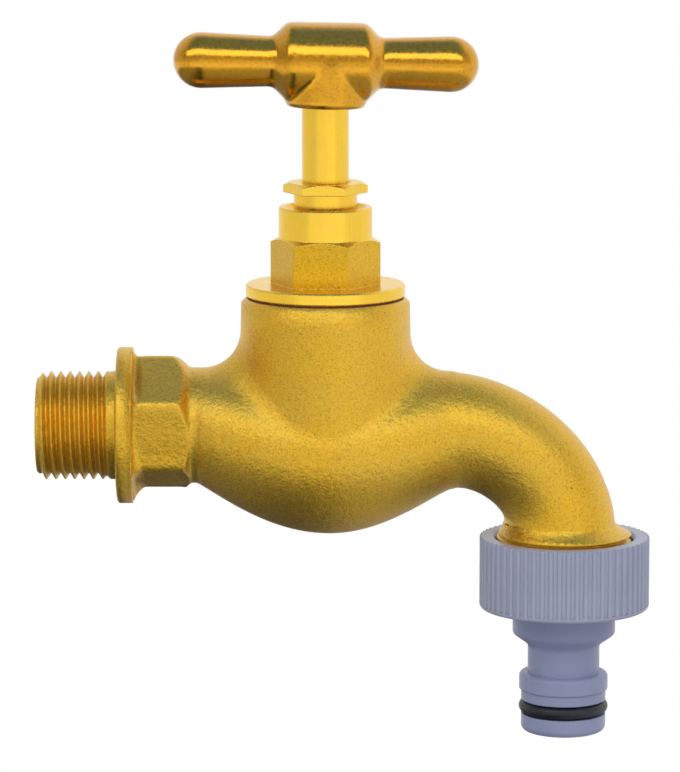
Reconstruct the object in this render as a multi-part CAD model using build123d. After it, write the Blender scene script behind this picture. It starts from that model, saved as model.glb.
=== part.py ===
from build123d import *
import os
from math import cos, pi, radians, sin, sqrt, tan

# Garden tap with a push-on hose connector, sizes in millimetres and angles in degrees.
# The origin is the centre of the inlet collar's seating face.
# +X runs along the inlet towards the spout and +Z up along the spindle.

# Inlet: male pipe thread, collar and spanner hexagon
inlet_thread_d = 20.955
inlet_thread_length = 15.6
inlet_thread_chamfer = 1.0
inlet_bore_d = 14.0
collar_step = 1.85
collar_t = 3.6
collar_edge = 0.35
inlet_hex_af = 23.0
inlet_hex_length = 10.7
inlet_hex_taper = 4.3
inlet_hex_corner_r = 1.2
inlet_hex_root_r = 1.5

# Casting: neck, belly, valve boss and spout
valve_x = 40.2
neck_d = 22.4
belly_rear = 25.0
belly_front = 23.0
belly_depth = 20.8
belly_side = 0.8
belly_power = 2.3
boss_wall = 3.0
boss_draft = 1.2
boss_height = 25.0
boss_root_r = 7.5
belly_wall = 3.0
spout_reach = 25.0
spout_d = 23.2
spout_bend_d = 20.7
spout_drop = 1.05
spout_bend_r = 20.45
spout_bend_h = 17.85
spout_ease = 1.143

# Outlet: flared rim and male pipe thread
outlet_thread_d = 26.441
outlet_thread_length = 10.5
outlet_thread_chamfer = 0.8
outlet_bore_d = 19.0
outlet_bore_depth = 9.0
outlet_neck_d = 22.3
outlet_shift = 1.05
outlet_rim_inset = 0.25
outlet_flare_h = 2.5

# Waterways and valve seat inside the casting
seat_height = 5.5
seat_lip_h = 1.5
seat_lip_t = 2.2
seat_bore_d = 12.5
chamber_d = 25.0
lower_chamber_d = 21.6
bridge_t = 4.5
feed_bore_d = 12.0
feed_start = 26.0
feed_depth = 9.5
spout_bore_d = 16.0
window_bore_d = 11.0
window_offset = 13.8
window_height = 7.8

# Bonnet: screwed headgear with flange, hexagon and round top
bonnet_thread_d = 26.4
bonnet_thread_length = 11.0
bonnet_runout = 0.5
bonnet_recess_gap = 0.8
bonnet_recess_h = 5.0
gasket_t = 0.3
flange_inset = 0.95
flange_t = 2.4
flange_edge = 0.3
bonnet_hex_af = 18.4
bonnet_hex_h = 9.0
bonnet_hex_angle = -5.0
bonnet_top_d = 18.0
bonnet_top_h = 6.0
bonnet_top_edge = 0.3
stuffing_d = 12.4
stuffing_depth = 9.2
stuffing_flare = 1.7
guide_h = 2.5

# Gland nut, follower and packing
gland_hex_af = 14.1
gland_hex_h = 2.0
gland_hex_angle = -3.0
gland_neck_show = 2.7
gland_neck_grip = 3.5
gland_mouth = 0.5
follower_t = 1.0

# Spindle, jumper, seat washer and its nut
spindle_d = 9.0
spindle_thread_d = 12.8
spindle_end_chamfer = 0.6
spindle_show = 14.5
spindle_square = 6.4
spindle_square_h = 8.6
stop_gap = 0.4
valve_lift = 6.25
jumper_plate_t = 3.0
jumper_rim_t = 0.7
jumper_rim_h = 1.2
jumper_stem_d = 6.0
jumper_stem_h = 7.0
jumper_stud_d = 4.0
seat_washer_t = 3.5
washer_nut_af = 7.0
washer_nut_h = 2.4
stud_end = 0.9
snap_wire_d = 0.8
snap_height = 3.6
snap_gap_angle = 50.0

# T-handle and its grub screw
handle_length = 58.8
handle_rest_angle = 6.0
handle_lean = 1.5
arm_end_d = 10.8
arm_root_d = 9.7
hub_d = 15.3
hub_length = 20.8
hub_slope = 2.8
hub_slope_r = 2.2
hub_root_r = 1.5
socket_d = 15.6
socket_drop = 8.5
socket_edge = 0.5
socket_depth = 1.6
grub_d = 4.0
grub_length = 3.4
grub_height = 4.6
grub_key_af = 2.0
grub_key_depth = 1.6

# Hose connector: ribbed nut and nipple in one moulding
nut_wall = 3.2
nut_rim_gap = 0.5
nut_lip_h = 0.8
nut_edge_r = 0.7
nut_mouth = 0.6
rib_count = 60
rib_h = 0.45
rib_share = 0.56
connector_floor_t = 1.8
outlet_washer_t = 2.2
outlet_washer_bore = 15.0
nipple_wall = 1.15
nipple_collar_d = 20.0
nipple_collar_h = 5.1
nipple_collar_edge = 0.9
nipple_taper_h = 2.2
nipple_neck_step = 1.65
nipple_neck_h = 5.6
nipple_neck_r = 1.2
nipple_ring_d = 17.3
nipple_ring_h = 3.4
nipple_ring_edge = 0.9
nipple_land_step = 0.4
nipple_land_h = 2.0
nipple_tip_h = 3.5
nipple_tip_r = 1.3
o_ring_proud = 0.45
o_ring_section = 2.5

# Clearances
thread_gap = 0.1
running_gap = 0.1
seat_gap = 0.05
ring_gap = 0.3

# Radii and levels that follow from the sizes above
inlet_r = inlet_thread_d / 2
neck_r = neck_d / 2
spout_r = spout_d / 2
bend_r = spout_bend_d / 2
inlet_hex_corner = inlet_hex_af / sqrt(3)
collar_r = inlet_hex_corner + collar_step
bonnet_r = bonnet_thread_d / 2
boss_r = bonnet_r + thread_gap + boss_wall
flange_r = boss_r - flange_inset
spindle_r = spindle_d / 2
spindle_thread_r = spindle_thread_d / 2
spindle_hole_r = spindle_r + running_gap
outlet_r = outlet_thread_d / 2
outlet_neck_r = outlet_neck_d / 2
outlet_rim_r = outlet_r - outlet_rim_inset
seat_bore_r = seat_bore_d / 2
seat_lip_r = seat_bore_r + seat_lip_t
chamber_r = chamber_d / 2
bonnet_bore_r = bonnet_r + thread_gap
bonnet_top_r = bonnet_top_d / 2
stuffing_r = stuffing_d / 2
spout_bore_r = spout_bore_d / 2
stud_r = jumper_stud_d / 2
jumper_stem_r = jumper_stem_d / 2
plate_r = seat_lip_r + seat_gap + jumper_rim_t
bonnet_recess_r = plate_r + bonnet_recess_gap
snap_floor_r = jumper_stem_r - snap_wire_d / 2
snap_outer_r = snap_floor_r + seat_gap + snap_wire_d

spout_start_x = valve_x + spout_reach
spout_end_x = spout_start_x + spout_bend_r
outlet_x = spout_end_x + outlet_shift
spout_end_z = -spout_drop - spout_bend_h
outlet_rim_z = spout_end_z - outlet_flare_h
outlet_end_z = outlet_rim_z - outlet_thread_length

flange_z = boss_height + gasket_t
bonnet_foot_z = flange_z - bonnet_thread_length
bonnet_hex_z = flange_z + flange_t
bonnet_neck_z = bonnet_hex_z + bonnet_hex_h
bonnet_top_z = bonnet_neck_z + bonnet_top_h
stuffing_z = bonnet_top_z - stuffing_depth
stop_z = stuffing_z - guide_h
gland_hex_z = bonnet_top_z + gland_neck_show
gland_top_z = gland_hex_z + gland_hex_h
gland_foot_z = bonnet_top_z - gland_neck_grip
packing_top_z = gland_foot_z - follower_t

seat_floor_z = seat_height - seat_lip_h
bridge_z = seat_floor_z - bridge_t
lower_chamber_z = belly_depth - belly_wall - lower_chamber_d / 2
runout_z = bonnet_foot_z - bonnet_runout
plate_z = seat_height + seat_washer_t
spindle_foot_z = plate_z + jumper_plate_t
snap_z = spindle_foot_z + snap_height
spindle_thread_top_z = stop_z - stop_gap - valve_lift
socket_z = gland_top_z + spindle_show
handle_axis_z = socket_z + socket_drop
square_z = socket_z + socket_depth

washer_foot_z = outlet_end_z - outlet_washer_t
nut_top_z = outlet_rim_z - nut_rim_gap
nut_foot_z = washer_foot_z - connector_floor_t
nut_bore_r = outlet_r + thread_gap
nut_r = nut_bore_r + nut_wall
collar_foot_z = nut_foot_z - nipple_collar_h
taper_foot_z = collar_foot_z - nipple_taper_h
neck_foot_z = taper_foot_z - nipple_neck_h
ring_foot_z = neck_foot_z - nipple_ring_h
land_foot_z = ring_foot_z - nipple_land_h
ring_r = nipple_ring_d / 2
land_r = ring_r - nipple_land_step
o_ring_r = land_r + o_ring_proud
groove_h = o_ring_section + ring_gap
groove_r = o_ring_r - o_ring_section - seat_gap
nipple_bore_r = groove_r - nipple_wall
groove_foot_z = land_foot_z - groove_h
tip_z = groove_foot_z - nipple_tip_h

match = 0.001
chamfer_rise = tan(radians(30))


def turned(*outline):
    """Solid turned about Z from a closed outline of (radius, height) points."""
    rim = Polyline(*[(radius, 0, height) for radius, height in outline], close=True)
    return revolve(make_face(rim), Axis.Z)


def tube(outer, inner, low, high):
    """Plain round tube about Z."""
    return turned((inner, low), (outer, low), (outer, high), (inner, high))


def rod(start, end, radius):
    """Round rod between two points."""
    span = Vector(*end) - Vector(*start)
    plane = Plane(origin=start, z_dir=span)
    return plane * Cylinder(radius, span.length, align=(Align.CENTER, Align.CENTER, Align.MIN))


def hexagon(across_flats, low, high, angle):
    """Hexagon prism about Z, with a flat facing -Y when the angle is zero."""
    outline = RegularPolygon(across_flats / 2, 6, major_radius=False, rotation=angle)
    return Pos(0, 0, low) * extrude(outline, high - low)


def crowned_hexagon(across_flats, low, high, crown_r, angle):
    """Hexagon whose upper corners are turned off at 30 degrees down from a crown circle."""
    reach = across_flats
    drop = (reach - crown_r) * chamfer_rise
    crown = turned((0, low - drop), (reach, low - drop), (reach, high - drop), (crown_r, high), (0, high))
    return hexagon(across_flats, low, high, angle) & crown


def rims(piece, radius, height):
    """Circular edges of a turned piece at one radius and height."""
    circles = piece.edges().filter_by(GeomType.CIRCLE)
    level = [edge for edge in circles if abs(edge.arc_center.Z - height) < match]
    return [edge for edge in level if abs(edge.radius - radius) < match]


def station(x, z, half_width, half_height, tilt):
    """Elliptical cross-section of the casting, square to its run."""
    run = (cos(radians(tilt)), 0, -sin(radians(tilt)))
    plane = Plane(origin=(x, 0, z), x_dir=(0, 1, 0), z_dir=run)
    return plane * Ellipse(half_width, half_height)


def casting_hull():
    """Neck, belly and bent spout as one loft, with the belly swelling below the valve."""
    belly_half_height = (neck_r + belly_depth) / 2
    boss_foot_r = boss_r + (boss_height + belly_half_height) * tan(radians(boss_draft))
    widest = boss_foot_r + belly_side
    neck_start_x = collar_t / 2
    neck_length = valve_x - belly_rear - neck_start_x
    sections = []
    for share in (0, 0.25, 0.5, 0.75):
        sections.append(station(neck_start_x + neck_length * share, 0, neck_r, neck_r, 0))
    for step in range(-5, 6):
        along = sin(radians(18 * step))
        swell = cos(radians(18 * step)) ** belly_power
        reach = belly_front if step > 0 else belly_rear
        share = (along + 1) / 2
        axis_z = -spout_drop * share
        tube_r = neck_r + (spout_r - neck_r) * share
        top = axis_z + tube_r
        foot = axis_z - tube_r - (belly_depth - neck_r - spout_drop / 2) * swell
        half_width = tube_r + (widest - tube_r) * swell
        middle = (top + foot) / 2
        half_height = (top - foot) / 2
        sections.append(station(valve_x + reach * along, middle, half_width, half_height, 0))
    for tilt in (15, 30, 45, 60, 75):
        x = spout_start_x + spout_bend_r * sin(radians(tilt)) ** spout_ease
        z = spout_end_z + spout_bend_h * cos(radians(tilt)) ** spout_ease
        radius = bend_r + (spout_r - bend_r) * (1 - sin(radians(tilt))) ** 2
        sections.append(station(x, z, radius, radius, tilt))
    sections.append(station(spout_end_x, spout_end_z, outlet_neck_r, outlet_neck_r, 90))
    flare = []
    for share in (0, 0.25, 0.5, 0.75, 1):
        x = spout_end_x + outlet_shift * share**2
        z = spout_end_z - outlet_flare_h * share
        radius = outlet_neck_r + (outlet_rim_r - outlet_neck_r) * share**2
        flare.append(station(x, z, radius, radius, 90))
    return loft(sections) + loft(flare)


def boss():
    """Slightly tapered valve boss."""
    foot_z = (neck_r - belly_depth) / 2
    foot_r = boss_r + (boss_height - foot_z) * tan(radians(boss_draft))
    outline = [(0, foot_z), (foot_r, foot_z), (boss_r, boss_height - flange_inset)]
    outline += [(flange_r, boss_height), (0, boss_height)]
    return Pos(valve_x, 0, 0) * turned(*outline)


def inlet():
    """Thread blank, collar and tapered hexagon, about the inlet axis."""
    tip = inlet_thread_length
    cut = inlet_thread_chamfer
    edge = collar_edge
    outline = [(0, -tip), (inlet_r - cut, -tip), (inlet_r, cut - tip), (inlet_r, 0)]
    outline += [(collar_r - edge, 0), (collar_r, edge), (collar_r, collar_t - edge)]
    outline += [(collar_r - edge, collar_t), (0, collar_t)]
    shank = turned(*outline)
    hex_end = collar_t + inlet_hex_length
    prism = hexagon(inlet_hex_af, collar_t, hex_end, 0)
    prism = fillet(prism.edges().filter_by(Axis.Z), inlet_hex_corner_r)
    wide = inlet_hex_corner
    slope_z = hex_end - inlet_hex_taper
    cone = [(0, collar_t), (wide, collar_t), (wide, slope_z), (neck_r - seat_gap, hex_end), (0, hex_end)]
    prism &= turned(*cone)
    joined = shank + prism
    root = joined.edges().filter_by_position(Axis.Z, collar_t, collar_t)
    root = [edge for edge in root if edge.distance_to((0, 0, collar_t)) < wide - match]
    joined = fillet(root, min(inlet_hex_root_r, 0.8 * collar_step))
    return Rot(0, 90, 0) * joined


def outlet():
    """Thread blank below the spout's flared rim."""
    end = outlet_end_z
    cut = outlet_thread_chamfer
    outline = [(0, end), (outlet_r - cut, end), (outlet_r, end + cut)]
    outline += [(outlet_r, outlet_rim_z - outlet_rim_inset), (outlet_rim_r, outlet_rim_z), (0, outlet_rim_z)]
    return Pos(outlet_x, 0, 0) * turned(*outline)


def waterways():
    """Everything bored or cored out of the casting."""
    feed_x = valve_x - feed_start
    feed_r = feed_bore_d / 2
    inlet_bore = rod((-inlet_thread_length, 0, 0), (feed_x + feed_r / 2, 0, 0), inlet_bore_d / 2)
    feed = rod((feed_x, 0, 0), (valve_x, 0, -feed_depth), feed_r)
    ball = Pos(0, 0, -lower_chamber_z) * Sphere(lower_chamber_d / 2)
    ceiling = tube(lower_chamber_d, 0, -belly_depth, bridge_z)
    outline = [(0, -lower_chamber_z), (seat_bore_r, -lower_chamber_z), (seat_bore_r, seat_height)]
    outline += [(seat_lip_r, seat_height), (seat_lip_r, seat_floor_z), (chamber_r, seat_floor_z)]
    outline += [(chamber_r, runout_z), (bonnet_bore_r, runout_z)]
    outline += [(bonnet_bore_r, boss_height), (0, boss_height)]
    valve_side = Pos(valve_x, 0, 0) * (turned(*outline) + (ball & ceiling))
    window = (valve_x + window_offset, 0, window_height)
    spout_mouth = (spout_start_x, 0, -spout_drop)
    passage = Pos(*window) * Sphere(window_bore_d / 2) + rod(window, spout_mouth, window_bore_d / 2)
    passage += Pos(*spout_mouth) * Sphere(spout_bore_r)
    bend_z = -spout_drop - spout_bend_r
    bend_axis = Axis((spout_start_x, 0, bend_z), (0, 1, 0))
    bend = revolve(Pos(*spout_mouth) * Plane.YZ * Circle(spout_bore_r), bend_axis, 90)
    drop = rod((outlet_x, 0, outlet_end_z), (outlet_x, 0, bend_z), spout_bore_r)
    mouth_top_z = outlet_end_z + outlet_bore_depth
    mouth = rod((outlet_x, 0, outlet_end_z), (outlet_x, 0, mouth_top_z), outlet_bore_d / 2)
    return inlet_bore + feed + valve_side + passage + bend + drop + mouth


def tap_body():
    """The brass casting with its machined threads, seat and waterways."""
    hull = casting_hull()
    stack = boss()
    cast = hull + stack
    cast = fillet(new_edges(hull, stack, combined=cast), boss_root_r)
    return cast + inlet() + outlet() - waterways()


def bonnet():
    """Headgear: threaded skirt, flange, hexagon and round top with the stuffing box."""
    cut = flange_edge
    skirt = [(0, bonnet_foot_z), (bonnet_r - cut, bonnet_foot_z), (bonnet_r, bonnet_foot_z + cut)]
    skirt += [(bonnet_r, flange_z), (flange_r - cut, flange_z), (flange_r, flange_z + cut)]
    skirt += [(flange_r, bonnet_hex_z - cut)]
    skirt += [(flange_r - cut, bonnet_hex_z), (0, bonnet_hex_z)]
    edge = bonnet_top_edge
    top = [(0, bonnet_neck_z), (bonnet_top_r, bonnet_neck_z), (bonnet_top_r, bonnet_top_z - edge)]
    top += [(bonnet_top_r - edge, bonnet_top_z), (0, bonnet_top_z)]
    nut = crowned_hexagon(bonnet_hex_af, bonnet_hex_z, bonnet_neck_z, bonnet_top_r, bonnet_hex_angle)
    recess_z = bonnet_foot_z + bonnet_recess_h
    bore = [(0, bonnet_foot_z), (bonnet_recess_r, bonnet_foot_z), (bonnet_recess_r, recess_z)]
    bore += [(spindle_thread_r + thread_gap, recess_z), (spindle_thread_r + thread_gap, stop_z)]
    bore += [(spindle_hole_r, stop_z), (spindle_hole_r, stuffing_z), (stuffing_r, stuffing_z)]
    bore += [(stuffing_r, bonnet_top_z - stuffing_flare), (stuffing_r + stuffing_flare, bonnet_top_z)]
    bore += [(0, bonnet_top_z)]
    return Pos(valve_x, 0, 0) * (turned(*skirt) + nut + turned(*top) - turned(*bore))


def bonnet_gasket():
    """Fibre ring between the boss and the bonnet flange."""
    return Pos(valve_x, 0, 0) * tube(flange_r - ring_gap, bonnet_r + ring_gap, boss_height, flange_z)


def gland_nut():
    """Hollow hexagon screw that presses on the packing."""
    head = crowned_hexagon(gland_hex_af, gland_hex_z, gland_top_z, gland_hex_af / 2, gland_hex_angle)
    neck = tube(stuffing_r - thread_gap, spindle_hole_r, gland_foot_z, gland_hex_z)
    bore = [(0, gland_foot_z), (spindle_hole_r, gland_foot_z), (spindle_hole_r, gland_top_z - gland_mouth)]
    bore += [(spindle_hole_r + gland_mouth, gland_top_z), (0, gland_top_z)]
    return Pos(valve_x, 0, 0) * (head + neck - turned(*bore))


def packing_follower():
    """Brass ring between the gland nut and the packing."""
    return Pos(valve_x, 0, 0) * tube(stuffing_r - thread_gap, spindle_hole_r, packing_top_z, gland_foot_z)


def gland_packing():
    """Packing ring that seals the spindle."""
    return Pos(valve_x, 0, 0) * tube(stuffing_r - seat_gap, spindle_r + seat_gap, stuffing_z, packing_top_z)


def spindle():
    """Stem with its thread blank, jumper socket and square head."""
    cut = spindle_end_chamfer
    foot = spindle_foot_z
    thread_top = spindle_thread_top_z
    hole_r = jumper_stem_r + running_gap
    hole_top = foot + jumper_stem_h + ring_gap
    groove_low = snap_z - snap_wire_d / 2 - running_gap
    groove_high = snap_z + snap_wire_d / 2 + running_gap
    outline = [(hole_r, foot), (spindle_thread_r - cut, foot), (spindle_thread_r, foot + cut)]
    outline += [(spindle_thread_r, thread_top - cut), (spindle_thread_r - cut, thread_top)]
    outline += [(spindle_r, thread_top), (spindle_r, square_z), (0, square_z)]
    outline += [(0, hole_top), (hole_r, hole_top), (hole_r, groove_high)]
    outline += [(snap_outer_r + running_gap, groove_high), (snap_outer_r + running_gap, groove_low)]
    outline += [(hole_r, groove_low)]
    head = Box(spindle_square, spindle_square, spindle_square_h) & Cylinder(spindle_r, spindle_square_h)
    head = Pos(0, 0, square_z + spindle_square_h / 2) * Rot(0, 0, handle_rest_angle) * head
    return Pos(valve_x, 0, 0) * (turned(*outline) + head)


def valve_jumper():
    """Valve plate with a rim, a stem for the spindle and a stud for the washer nut."""
    stud_z = seat_height - washer_nut_h - stud_end
    inner_r = plate_r - jumper_rim_t
    low = snap_z - snap_wire_d / 2 - seat_gap
    high = snap_z + snap_wire_d / 2 + seat_gap
    stem_top = spindle_foot_z + jumper_stem_h
    rim_z = plate_z - jumper_rim_h
    outline = [(0, stud_z), (stud_r, stud_z), (stud_r, plate_z), (inner_r, plate_z), (inner_r, rim_z)]
    outline += [(plate_r, rim_z), (plate_r, spindle_foot_z), (jumper_stem_r, spindle_foot_z)]
    outline += [(jumper_stem_r, low), (snap_floor_r, low), (snap_floor_r, high), (jumper_stem_r, high)]
    outline += [(jumper_stem_r, stem_top), (0, stem_top)]
    return Pos(valve_x, 0, 0) * turned(*outline)


def jumper_snap_ring():
    """Open wire ring that keeps the jumper's stem in the spindle."""
    wire = Plane.XZ * Pos(snap_outer_r - snap_wire_d / 2, snap_z) * Circle(snap_wire_d / 2)
    return Pos(valve_x, 0, 0) * revolve(wire, Axis.Z, 360 - snap_gap_angle)


def seat_washer():
    """Rubber washer that closes on the seat."""
    return Pos(valve_x, 0, 0) * tube(seat_lip_r, stud_r + seat_gap, seat_height, plate_z)


def washer_nut():
    """Nut that holds the seat washer on the jumper's stud."""
    nut = hexagon(washer_nut_af, seat_height - washer_nut_h, seat_height, 0)
    hole = tube(stud_r + seat_gap, 0, seat_height - washer_nut_h, seat_height)
    return Pos(valve_x, 0, 0) * (nut - hole)


def tee_handle():
    """Cast T-handle: barrel hub, tapering arms with round ends and a socket below."""
    half = handle_length / 2
    end_r = arm_end_d / 2
    root_r = arm_root_d / 2
    hub_r = hub_d / 2
    hub_half = hub_length / 2
    flat_half = hub_half - hub_slope
    tip_x = half - end_r
    bow = end_r * sqrt(0.5)
    left_tip = ThreePointArc((-half, 0, 0), (-tip_x - bow, 0, bow), (-tip_x, 0, end_r))
    corners = [(-tip_x, 0, end_r), (-hub_half, 0, root_r), (-flat_half, 0, hub_r)]
    corners += [(flat_half, 0, hub_r), (hub_half, 0, root_r), (tip_x, 0, end_r)]
    right_tip = ThreePointArc((tip_x, 0, end_r), (tip_x + bow, 0, bow), (half, 0, 0))
    axle = Line((half, 0, 0), (-half, 0, 0))
    outline = make_face([left_tip, Polyline(*corners), right_tip, axle])
    bar = revolve(outline, Axis.X)
    rings = bar.edges().filter_by(GeomType.CIRCLE)
    bar = fillet([edge for edge in rings if abs(edge.radius - hub_r) < match], hub_slope_r)
    rings = bar.edges().filter_by(GeomType.CIRCLE)
    roots = [edge for edge in rings if abs(edge.radius - root_r) < match]
    bar = fillet([edge for edge in roots if abs(abs(edge.arc_center.X) - hub_half) < match], hub_root_r)
    socket_r = socket_d / 2
    drop = socket_drop
    edge = socket_edge
    socket = turned((0, -drop), (socket_r - edge, -drop), (socket_r, edge - drop), (socket_r, 0), (0, 0))
    foot = Pos(0, 0, -drop)
    shape = foot * Rot(0, handle_lean, 0) * foot.inverse() * (bar + socket)
    recess = foot * tube(spindle_r + seat_gap, 0, -edge, socket_depth)
    side = spindle_square + 2 * seat_gap
    square_h = spindle_square_h + ring_gap
    square = Pos(0, 0, socket_depth - drop + square_h / 2) * Box(side, side, square_h)
    grub_z = grub_height - drop
    grub_hole = rod((0, 0, grub_z), (0, socket_d, grub_z), grub_d / 2 + seat_gap)
    shape = shape - recess - square - grub_hole
    return Pos(valve_x, 0, handle_axis_z) * Rot(0, 0, handle_rest_angle) * shape


def handle_grub_screw():
    """Set screw at the back of the hub, with a hexagon key socket."""
    start = spindle_square / 2 + seat_gap
    screw = Cylinder(grub_d / 2, grub_length, align=(Align.CENTER, Align.CENTER, Align.MIN))
    screw -= hexagon(grub_key_af, grub_length - grub_key_depth, grub_length, 0)
    along_y = Pos(0, start, socket_z + grub_height) * Rot(-90, 0, 0) * screw
    return Pos(valve_x, 0, 0) * Rot(0, 0, handle_rest_angle) * along_y


def rib_outline():
    """Outline of the nut's half-round grip ribs."""
    base_r = nut_r - rib_h
    pitch = 2 * pi / rib_count
    half = pitch * rib_share / 2

    def point(radius, angle):
        return (radius * cos(angle), radius * sin(angle))

    runs = []
    for index in range(rib_count):
        mid = index * pitch
        start = point(base_r, mid - half)
        end = point(base_r, mid + half)
        following = point(base_r, mid + pitch - half)
        runs.append(ThreePointArc(start, point(nut_r, mid), end))
        runs.append(ThreePointArc(end, point(base_r, mid + pitch / 2), following))
    return make_face(runs)


def hose_connector():
    """Ribbed nut and push-on nipple moulded in one piece."""
    lip_z = nut_foot_z + nut_lip_h
    grip = Pos(0, 0, lip_z) * extrude(rib_outline(), nut_top_z - lip_z)
    lip = tube(nut_r, 0, nut_foot_z, lip_z)
    lip = fillet(rims(lip, nut_r, nut_foot_z), nut_edge_r)
    shoulder_r = nipple_collar_d / 2
    waist_r = ring_r - nipple_neck_step
    outline = [(0, nut_foot_z), (shoulder_r, nut_foot_z), (shoulder_r, collar_foot_z)]
    outline += [(waist_r, taper_foot_z), (waist_r, neck_foot_z), (ring_r, neck_foot_z), (ring_r, ring_foot_z)]
    outline += [(land_r, ring_foot_z), (land_r, land_foot_z), (groove_r, land_foot_z)]
    outline += [(groove_r, groove_foot_z), (land_r, groove_foot_z), (land_r, tip_z), (0, tip_z)]
    nipple = turned(*outline)
    nipple = fillet(rims(nipple, shoulder_r, collar_foot_z), nipple_collar_edge)
    nipple = fillet(rims(nipple, waist_r, taper_foot_z), nipple_neck_r)
    nipple = fillet(rims(nipple, ring_r, neck_foot_z), nipple_ring_edge)
    nipple = fillet(rims(nipple, ring_r, ring_foot_z), min(nipple_ring_edge, 0.8 * nipple_land_step))
    nipple = fillet(rims(nipple, land_r, tip_z), nipple_tip_r)
    bore = [(0, tip_z), (nipple_bore_r, tip_z), (nipple_bore_r, washer_foot_z), (nut_bore_r, washer_foot_z)]
    bore += [(nut_bore_r, nut_top_z - nut_mouth), (nut_bore_r + nut_mouth, nut_top_z), (0, nut_top_z)]
    return Pos(outlet_x, 0, 0) * (grip + lip + nipple - turned(*bore))


def connector_o_ring():
    """Rubber ring in the nipple's groove."""
    middle_r = o_ring_r - o_ring_section / 2
    return Pos(outlet_x, 0, land_foot_z - groove_h / 2) * Torus(middle_r, o_ring_section / 2)


def outlet_washer():
    """Flat rubber washer between the spout's end and the connector's floor."""
    ring = tube(outlet_r - ring_gap, outlet_washer_bore / 2, washer_foot_z, outlet_end_z)
    return Pos(outlet_x, 0, 0) * ring


pieces = {
    "tap_body": tap_body(),
    "bonnet": bonnet(),
    "bonnet_gasket": bonnet_gasket(),
    "gland_nut": gland_nut(),
    "packing_follower": packing_follower(),
    "gland_packing": gland_packing(),
    "spindle": spindle(),
    "tee_handle": tee_handle(),
    "handle_grub_screw": handle_grub_screw(),
    "valve_jumper": valve_jumper(),
    "jumper_snap_ring": jumper_snap_ring(),
    "seat_washer": seat_washer(),
    "washer_nut": washer_nut(),
    "hose_connector": hose_connector(),
    "connector_o_ring": connector_o_ring(),
    "outlet_washer": outlet_washer(),
}

os.makedirs("parts", exist_ok=True)
for name, piece in pieces.items():
    export_step(piece, f"parts/{name}.step")
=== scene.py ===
import math

import bmesh
import bpy
import numpy as np
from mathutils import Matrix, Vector


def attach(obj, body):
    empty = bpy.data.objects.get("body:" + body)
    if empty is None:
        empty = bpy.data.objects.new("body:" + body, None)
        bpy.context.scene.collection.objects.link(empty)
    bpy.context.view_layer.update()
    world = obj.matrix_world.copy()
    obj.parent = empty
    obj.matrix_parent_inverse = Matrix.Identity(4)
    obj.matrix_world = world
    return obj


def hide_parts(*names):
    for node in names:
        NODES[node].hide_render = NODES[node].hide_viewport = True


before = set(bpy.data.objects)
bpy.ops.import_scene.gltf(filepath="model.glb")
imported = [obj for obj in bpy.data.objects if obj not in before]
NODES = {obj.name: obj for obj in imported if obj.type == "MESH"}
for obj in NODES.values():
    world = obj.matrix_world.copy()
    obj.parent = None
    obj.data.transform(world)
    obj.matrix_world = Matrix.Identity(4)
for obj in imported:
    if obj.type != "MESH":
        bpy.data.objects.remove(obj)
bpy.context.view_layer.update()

MM = 0.001

for leftover in ("Cube", "Light", "Camera"):
    if leftover in bpy.data.objects and leftover not in NODES:
        bpy.data.objects.remove(bpy.data.objects[leftover])

# Places on the tap, in millimetres in the part's frame, and how near or how clear of them counts
NEAR = 0.02
CLEAR = 0.1
VALVE_X = 40.2
BOSS_TOP_Z = 25.0
BOSS_FACED_H = 0.97
BONNET_HEX = (27.7, 36.7)
NUT_FOOT_Z = -35.9

# Pipe threads
PIPE_PITCH = 1.814
PIPE_DEPTH = 1.16
THREAD_FLAT = 0.1
THREAD_SHIFT = 0.6

# Inlet thread and the collar behind it
INLET_END_X = -15.6
INLET_CREST_R = 10.4775
INLET_CORE_R = 9.0
INLET_BLANK_R = (9.1, 11.0)
INLET_CHAMFER = 0.25
INLET_LIP = 0.06
INLET_LEAD = (-15.25, -14.3)
INLET_RUNOUT = (-2.9, -1.2)
INLET_INTO_COLLAR = 0.04
COLLAR_T = 3.6
COLLAR_R = 15.13
COLLAR_RIM_R = 14.6
COLLAR_TRIM = 0.4
COLLAR_FACE_T = 0.3
COLLAR_BACK_T = 0.2
COLLAR_RIM_T = 0.6

# Outlet thread: all that lies past the spout's side is on it or on the spout
SPOUT_SIDE_X = 70.0
OUTLET_X = 86.7
OUTLET_RIM_Z = -21.4
OUTLET_RIM_R = 12.97
OUTLET_END_Z = -31.9
OUTLET_CREST_R = 13.2205
OUTLET_CORE_R = 11.9
OUTLET_BLANK_R = 12.1
OUTLET_BORE_R = 7.0
OUTLET_CHAMFER = 0.3
OUTLET_TUCK = 0.3

# Cast hexagon: a sleeve over the CAD's plain one
HEXAGON_R = 11.5
HEXAGON_CORNER_R = 13.1
HEXAGON_TURN = 3.3
HEXAGON_LIFT = 0.7
HEXAGON_LIFTED_X = (3.2, 5.5, 12.0, 15.5)
HEXAGON_FOOT_X = 2.7
HEXAGON_END_X = 18.0
HEXAGON_CORE_R = 9.7
HEXAGON_COVERED_X = 15.6
HEXAGON_COVERED_R = (10.9, 14.79)
HEXAGON_ROW_STEP = 0.2
HEXAGON_TUCK = 1.5
CORNER_SOFTNESS = 0.35
SHOULDER_SOFTNESS = 0.5
ROOT_SOFTNESS = 0.3
NECK_SOFTNESS = 0.6
ROOT_X = 3.1
ROOT_END_X = 5.6
ROOT_ROWS = 26
ROOT_FLAT_R = 0.7
ROOT_CORNER_R = 2.3
ROOT_MAX_R = 14.8
SHOULDER_START_X = 12.6
SHOULDER_START_TOP_X = 9.8
SHOULDER_END_X = 15.1
SHOULDER_END_TOP_X = 15.6
SHOULDER_LOW_R = 10.4
SHOULDER_HIGH_R = 13.2
NECK_FADE_X = (15.5, 17.5)
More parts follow.
